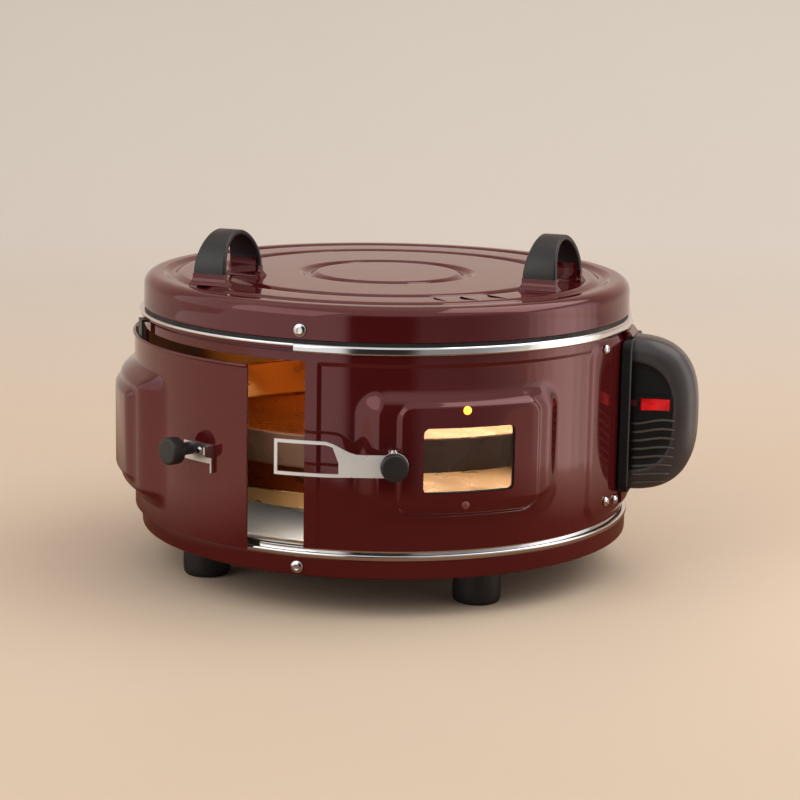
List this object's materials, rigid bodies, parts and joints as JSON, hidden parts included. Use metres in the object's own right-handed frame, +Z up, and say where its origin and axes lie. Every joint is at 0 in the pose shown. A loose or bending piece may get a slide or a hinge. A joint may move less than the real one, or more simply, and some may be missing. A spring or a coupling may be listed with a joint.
{
  "type": "electric drum oven",
  "caption": "Round countertop drum oven in burgundy enamel with a hinged lid, arched grips, curved sliding door, strap latch, stamped window panel and side control box.",
  "frame": {"origin": "on the drum's axis, level with the soles of the feet", "axes": "+Z up along the drum's axis, -Y towards the door seam at the front, +X towards the control box"},
  "size_m": [0.4784, 0.4421, 0.2833],
  "materials": {
    "enamel": "glossy enamel",
    "dark_enamel": "satin enamel",
    "polished_steel": "polished",
    "satin_steel": "satin",
    "heater_tube": "heat darkened",
    "tray_metal": "satin",
    "charcoal": "satin",
    "gasket": "matt",
    "clear_glass": "clear",
    "ceramic": "unglazed",
    "amber_lens": "lit lens",
    "dark_lens": "unlit lens",
    "red_lens": "lit lens"
  },
  "bodies": {
    "drum": {"base_pan": "enamel", "foot_front_right": "charcoal", "foot_rear_right": "charcoal", "foot_rear_left": "charcoal", "foot_front_left": "charcoal", "foot_screws": "satin_steel", "base_trim": "polished_steel", "base_screws": "satin_steel", "drum_wall": "enamel", "top_trim": "polished_steel", "lid_seal": "gasket", "floor_pan": "satin_steel", "lower_heater": "heater_tube", "lower_heater_clips": "satin_steel", "base_terminal": "ceramic", "tray_supports": "satin_steel", "lower_tray": "tray_metal", "upper_tray": "dark_enamel", "window_glass": "clear_glass", "window_gasket": "gasket", "window_retainer": "satin_steel", "pilot_lamp": "amber_lens", "ready_lamp": "dark_lens", "latch_bracket": "polished_steel", "latch_pin": "polished_steel", "box_bracket": "enamel", "box_screws": "satin_steel", "control_backplate": "charcoal", "control_housing": "charcoal", "switch_body": "charcoal", "thermostat": "ceramic", "terminal_block": "ceramic", "cord_gland": "charcoal", "hinge_drum_leaf": "satin_steel", "hinge_pin": "satin_steel"},
    "lid": {"lid_shell": "enamel", "lid_reflector": "satin_steel", "lid_screws": "satin_steel", "lid_heater": "heater_tube", "lid_heater_clips": "satin_steel", "lid_terminal": "ceramic", "hinge_lid_leaf": "satin_steel", "left_handle_bracket": "enamel", "right_handle_bracket": "enamel", "left_grip": "charcoal", "right_grip": "charcoal", "handle_screws": "satin_steel"},
    "door": {"door_panel": "enamel", "door_knob": "charcoal", "knob_screw": "satin_steel", "door_catch": "polished_steel", "catch_rivet": "satin_steel", "door_hangers": "satin_steel", "door_shoes": "charcoal"},
    "latch": {"latch_strap": "polished_steel", "latch_cap": "charcoal"},
    "switch": {"power_switch": "red_lens"}
  },
  "joints": [
    {"name": "lid_hinge", "type": "hinge", "parent": "drum", "child": "lid", "pos_m": [0, 0.213, 0.213], "axis": [-1, 0, 0], "range_deg": [0, 95]},
    {"name": "door_slide", "type": "hinge", "parent": "drum", "child": "door", "pos_m": [0, 0, 0.12], "axis": [0, 0, 1], "range_deg": [-47, 19]},
    {"name": "latch_pivot", "type": "hinge", "parent": "drum", "child": "latch", "pos_m": [0.00692, -0.21079, 0.1225], "axis": [0, 0, 1], "range_deg": [-3.5, 22]},
    {"name": "switch_rock", "type": "hinge", "parent": "drum", "child": "switch", "pos_m": [0.21725, -0.0712, 0.1452], "axis": [0, 0, 1], "range_deg": [-16, 0]}
  ]
}
